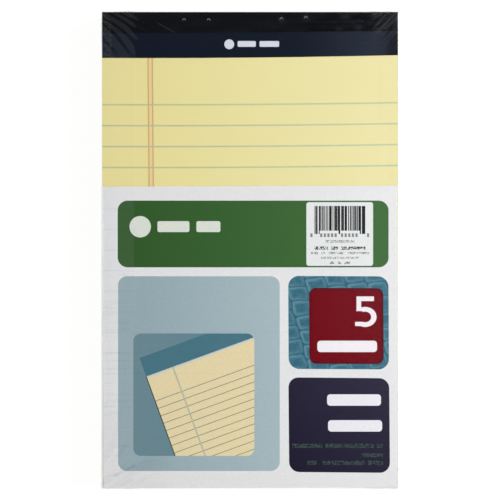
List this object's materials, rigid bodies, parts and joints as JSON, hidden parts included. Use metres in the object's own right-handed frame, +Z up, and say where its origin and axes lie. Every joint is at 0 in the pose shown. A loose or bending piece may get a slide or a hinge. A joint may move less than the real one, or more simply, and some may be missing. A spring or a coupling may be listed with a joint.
{
  "type": "legal pad pack",
  "caption": "Stapled junior legal pads of yellow ruled paper in clear shrink film, with a printed card over the lower front.",
  "frame": {"origin": "middle of the pack's underside, on the surface that it lies on", "axes": "+Y from the pads' foot to their bound head, +X to the right across the printed front, +Z up out of the front"},
  "size_m": [0.1282, 0.2056, 0.0266],
  "materials": {
    "canary_paper": "matt",
    "grey_chipboard": "matt",
    "navy_strip_paper": "satin",
    "black_tape": "satin",
    "staple_wire": "satin",
    "card_board": "satin",
    "clear_film": "clear gloss"
  },
  "bodies": {
    "root": {"pad_1_sheets": "canary_paper", "pad_1_backboard": "grey_chipboard", "pad_1_header_strip": "navy_strip_paper", "pad_1_binding_tape": "black_tape", "pad_1_staples": "staple_wire", "pad_2_sheets": "canary_paper", "pad_2_backboard": "grey_chipboard", "pad_2_header_strip": "navy_strip_paper", "pad_2_binding_tape": "black_tape", "pad_2_staples": "staple_wire", "pad_3_sheets": "canary_paper", "pad_3_backboard": "grey_chipboard", "pad_3_header_strip": "navy_strip_paper", "pad_3_binding_tape": "black_tape", "pad_3_staples": "staple_wire", "pad_4_sheets": "canary_paper", "pad_4_backboard": "grey_chipboard", "pad_4_header_strip": "navy_strip_paper", "pad_4_binding_tape": "black_tape", "pad_4_staples": "staple_wire", "pad_5_sheets": "canary_paper", "pad_5_backboard": "grey_chipboard", "pad_5_header_strip": "navy_strip_paper", "pad_5_binding_tape": "black_tape", "pad_5_staples": "staple_wire", "printed_card": "card_board", "shrink_film": "clear_film"}
  },
  "joints": []
}
